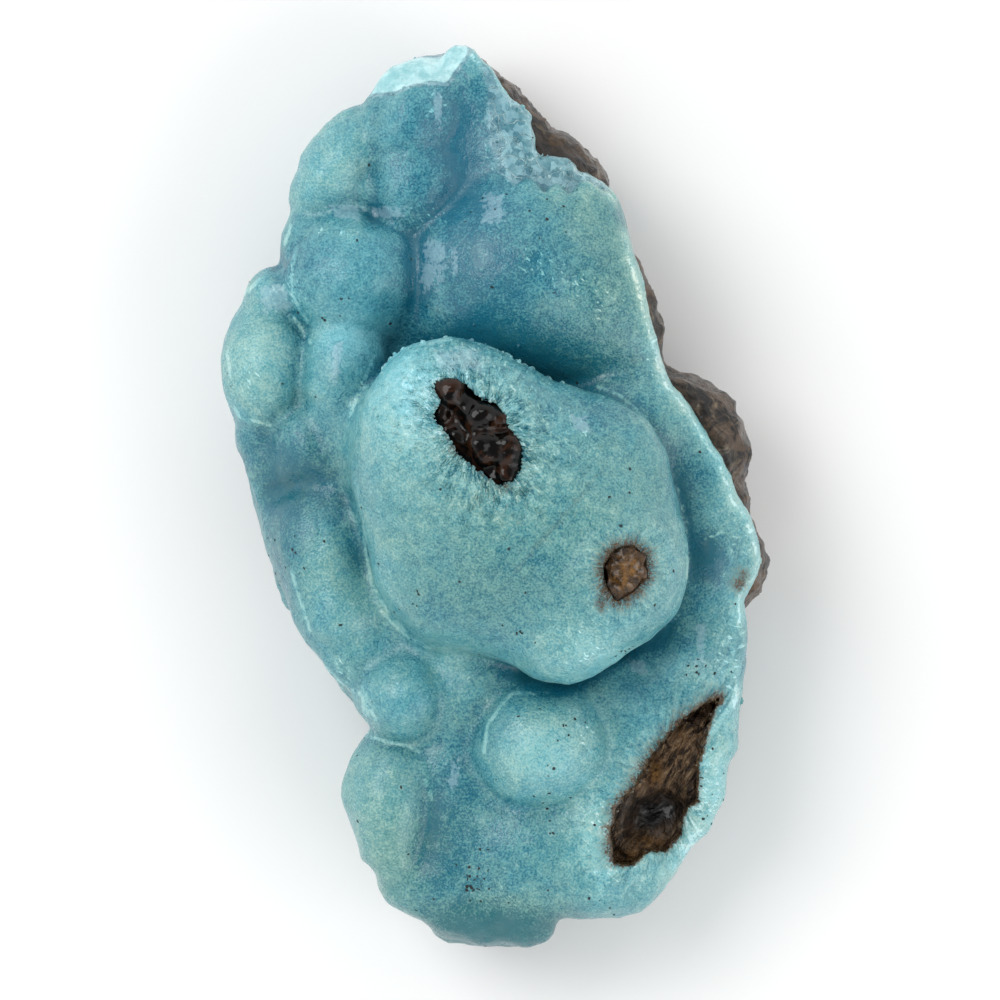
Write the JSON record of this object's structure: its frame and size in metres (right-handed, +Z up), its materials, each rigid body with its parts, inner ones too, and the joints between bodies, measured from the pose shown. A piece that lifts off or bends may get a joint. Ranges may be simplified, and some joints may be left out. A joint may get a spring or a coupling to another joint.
{
  "type": "hemimorphite specimen",
  "caption": "Loose hand specimen of a blue-green mineral crust of round lobes on a brown stone lump, lying on its flat broken back.",
  "frame": {"origin": "on the resting surface, under the middle of the specimen's bounding box", "axes": "+Z up out of the lobed face, +Y along the length towards the pointed end, +X towards the edge where the brown stone shows"},
  "size_m": [0.0331, 0.0551, 0.0208],
  "materials": {
    "hemimorphite": "waxy to glassy, translucent blue-green with paler lobes",
    "limonite": "earthy brown, with glossy near-black lumps in the holes"
  },
  "bodies": {
    "root": {"hemimorphite_crust": "hemimorphite", "limonite_matrix": "limonite"}
  },
  "joints": []
}
